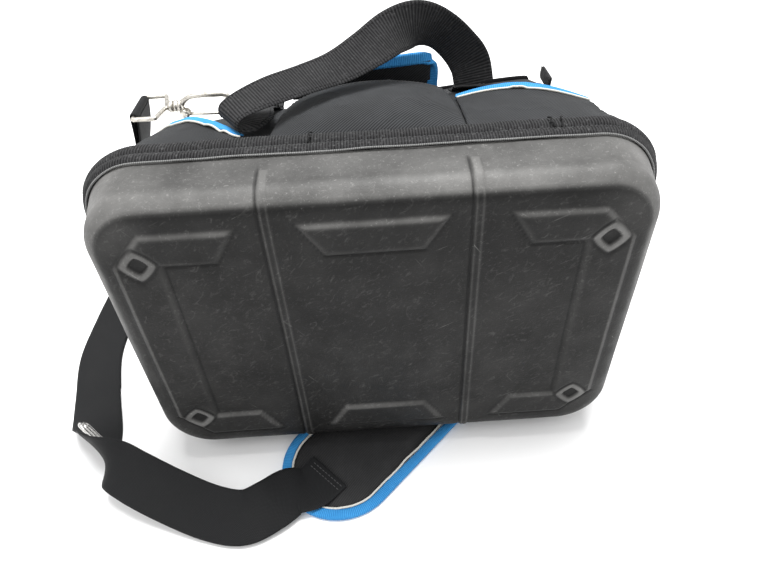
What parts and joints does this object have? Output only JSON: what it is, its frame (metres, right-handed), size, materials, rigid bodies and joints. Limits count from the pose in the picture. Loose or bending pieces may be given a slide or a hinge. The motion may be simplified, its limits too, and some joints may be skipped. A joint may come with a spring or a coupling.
{
  "type": "tool bag with moulded base",
  "caption": "Soft-sided tool bag on a moulded waterproof tray base, with front pockets, a flap, webbing handles, a hinged zip lid and a clip-on shoulder strap with pad.",
  "frame": {"origin": "middle of the plane of the foot pads under the moulded base, the plane the bag stands on when it is upright", "axes": "+X across the bag, -Y out of the underside of the base, +Y towards the lid, +Z out of the front panel; stored lying on its back panel"},
  "size_m": [0.6335, 0.501, 0.3665],
  "materials": {
    "moulded_plastic": "matte moulded plastic with a fine leather grain, scuffed",
    "stiffener_board": "plain board",
    "grey_piping": "woven cord piping",
    "blue_tape": "ribbed grosgrain tape",
    "cream_piping": "woven piping",
    "black_webbing": "ribbed webbing",
    "zip_tape": "zip tape with coil teeth",
    "nickel": "worn nickel plate",
    "black_fabric": "heavy diagonal-weave polyester"
  },
  "bodies": {
    "root": {"base_tray": "moulded_plastic", "base_board": "stiffener_board", "rim_piping": "grey_piping", "base_binding": "black_webbing", "front_panel": "black_fabric", "back_panel": "black_fabric", "left_side_panel": "black_fabric", "right_side_panel": "black_fabric", "front_board": "stiffener_board", "back_board": "stiffener_board", "tool_strip": "black_webbing", "tool_loops": "black_webbing", "divider": "black_fabric", "slip_pocket_left": "black_fabric", "slip_pocket_right": "black_fabric", "slip_binding_left": "blue_tape", "slip_binding_right": "blue_tape", "slip_piping_left": "cream_piping", "slip_piping_right": "cream_piping", "cargo_pocket": "black_fabric", "front_handle_patches": "black_webbing", "back_handle_legs": "black_webbing", "body_zip": "zip_tape", "ring_tab_left": "black_webbing", "ring_tab_right": "black_webbing", "eye_left": "nickel", "eye_right": "nickel", "strap_left": "black_webbing", "strap_left_return": "black_webbing", "strap_right": "black_webbing", "strap_right_return": "black_webbing", "tri_glide": "nickel", "shoulder_pad": "black_fabric", "pad_binding": "blue_tape", "pad_piping": "cream_piping"},
    "lid": {"lid": "black_fabric", "lid_zip": "zip_tape"},
    "cargo_flap": {"cargo_flap": "black_fabric", "flap_binding": "blue_tape"},
    "front_handle": {"front_handle": "black_webbing"},
    "back_handle": {"back_handle": "black_webbing"},
    "zip_slider_left": {"zip_slider_left": "nickel"},
    "zip_slider_right": {"zip_slider_right": "nickel"},
    "zip_pull_left": {"zip_pull_left": "nickel"},
    "zip_pull_right": {"zip_pull_right": "nickel"},
    "ring_left": {"ring_left": "nickel"},
    "ring_right": {"ring_right": "nickel"},
    "hook_left": {"hook_left": "nickel"},
    "hook_right": {"hook_right": "nickel"},
    "gate_left": {"gate_left": "nickel"},
    "gate_right": {"gate_right": "nickel"}
  },
  "joints": [
    {"name": "lid_hinge", "type": "hinge", "parent": "root", "child": "lid", "pos_m": [0, 0.2985, -0.137], "axis": [-1, 0, 0], "range_deg": [0, 88]},
    {"name": "flap_hinge", "type": "hinge", "parent": "root", "child": "cargo_flap", "pos_m": [0, 0.213, 0.12], "axis": [-1, 0, 0], "range_deg": [-25, 40]},
    {"name": "front_handle_hinge", "type": "hinge", "parent": "root", "child": "front_handle", "pos_m": [0, 0.206, 0.121], "axis": [-0.9988, 0, -0.048], "range_deg": [0, 60]},
    {"name": "back_handle_hinge", "type": "hinge", "parent": "root", "child": "back_handle", "pos_m": [0, 0.305, -0.1504], "axis": [1, 0, 0], "range_deg": [-45, 0]},
    {"name": "zip_slider_left_run", "type": "slide", "parent": "lid", "child": "zip_slider_left", "axis": [-0.9963, -0.0215, -0.083], "range_m": [0, 0.13]},
    {"name": "zip_slider_right_run", "type": "slide", "parent": "lid", "child": "zip_slider_right", "axis": [0.9963, 0.0215, 0.083], "range_m": [0, 0.13]},
    {"name": "zip_pull_left_hinge", "type": "hinge", "parent": "zip_slider_left", "child": "zip_pull_left", "pos_m": [-0.01395, 0.3025, 0.06664], "axis": [1, 0, 0], "range_deg": [0, 165]},
    {"name": "zip_pull_right_hinge", "type": "hinge", "parent": "zip_slider_right", "child": "zip_pull_right", "pos_m": [0.01395, 0.3031, 0.06896], "axis": [1, 0, 0], "range_deg": [0, 165]},
    {"name": "ring_left_hinge", "type": "hinge", "parent": "root", "child": "ring_left", "pos_m": [-0.133, 0.282, 0.09], "axis": [0, 1, 0], "range_deg": [-8, 8]},
    {"name": "ring_right_hinge", "type": "hinge", "parent": "root", "child": "ring_right", "pos_m": [0.213, 0.282, 0.058], "axis": [0, 1, 0], "range_deg": [-8, 8]},
    {"name": "hook_left_swivel", "type": "hinge", "parent": "root", "child": "hook_left", "pos_m": [-0.209, 0.282, 0.09], "axis": [1, 0, 0], "range_deg": [-25, 25]},
    {"name": "hook_right_swivel", "type": "hinge", "parent": "root", "child": "hook_right", "pos_m": [0.213, 0.282, -0.018], "axis": [0, 0, 1], "range_deg": [-25, 25]},
    {"name": "gate_left_hinge", "type": "hinge", "parent": "hook_left", "child": "gate_left", "pos_m": [-0.197, 0.282, 0.0804], "axis": [0, -1, 0], "range_deg": [0, 18], "stiffness_Nm_per_rad": 0.05, "springref_deg": -11.46},
    {"name": "gate_right_hinge", "type": "hinge", "parent": "hook_right", "child": "gate_right", "pos_m": [0.2226, 0.282, -0.006], "axis": [0, -1, 0], "range_deg": [0, 18], "stiffness_Nm_per_rad": 0.05, "springref_deg": -11.46}
  ]
}
